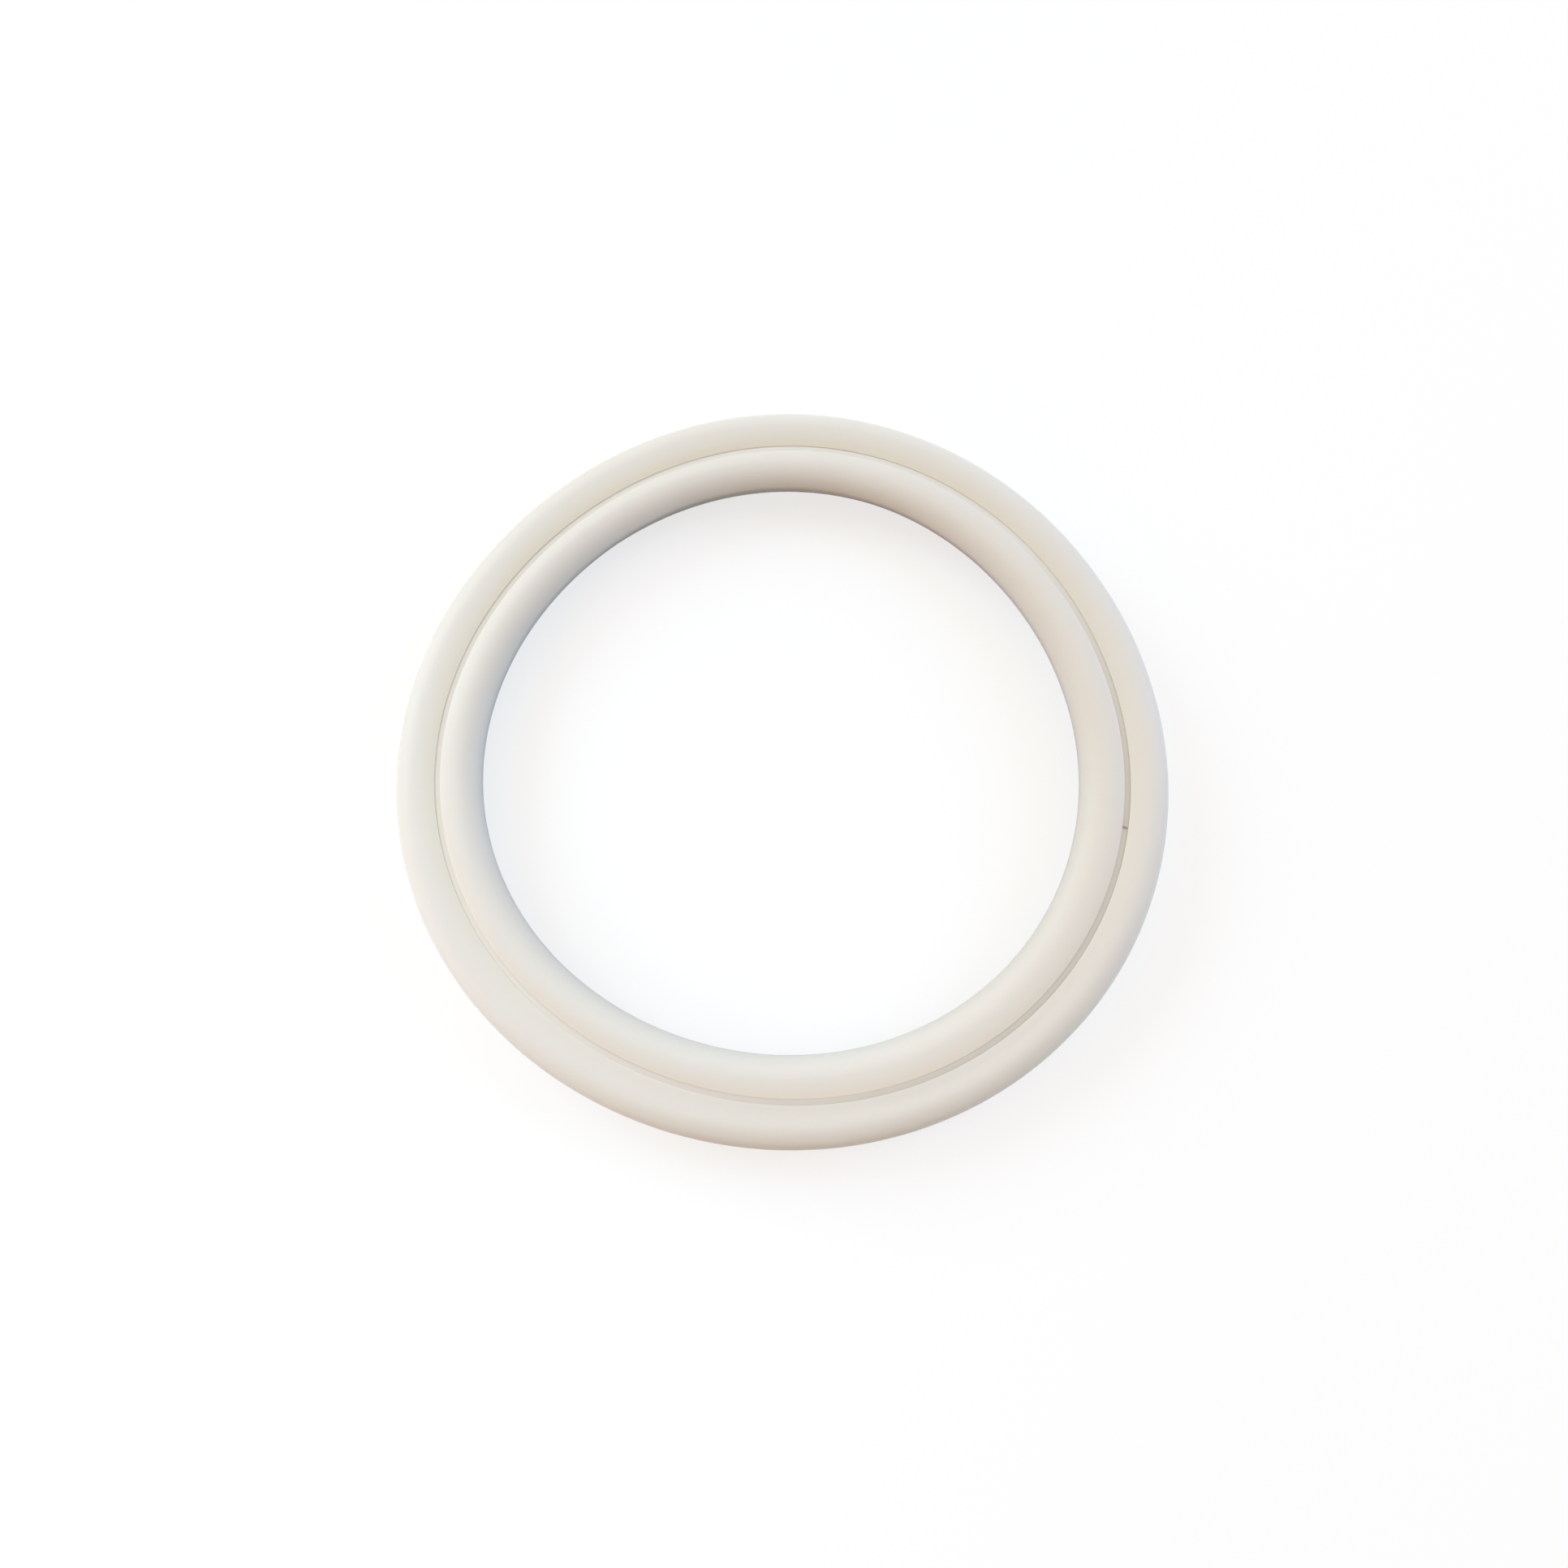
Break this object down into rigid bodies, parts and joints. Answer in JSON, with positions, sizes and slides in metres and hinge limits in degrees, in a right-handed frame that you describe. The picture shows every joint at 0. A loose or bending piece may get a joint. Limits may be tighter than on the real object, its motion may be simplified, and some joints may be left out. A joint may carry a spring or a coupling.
{
  "type": "o-ring",
  "caption": "Round moulded sealing ring with two concentric rounded beads parted by a narrow slot, a bevelled inner lip and a flat base, to seal a joint face.",
  "frame": {"origin": "on the ring's axis, at the level of the flat base", "axes": "+Z along the ring's axis, from the flat base to the beads; +X and +Y lie in the base"},
  "size_m": [0.0724, 0.0724, 0.0055],
  "materials": {
    "silicone": "satin"
  },
  "bodies": {
    "root": {"seal_ring": "silicone"}
  },
  "joints": []
}
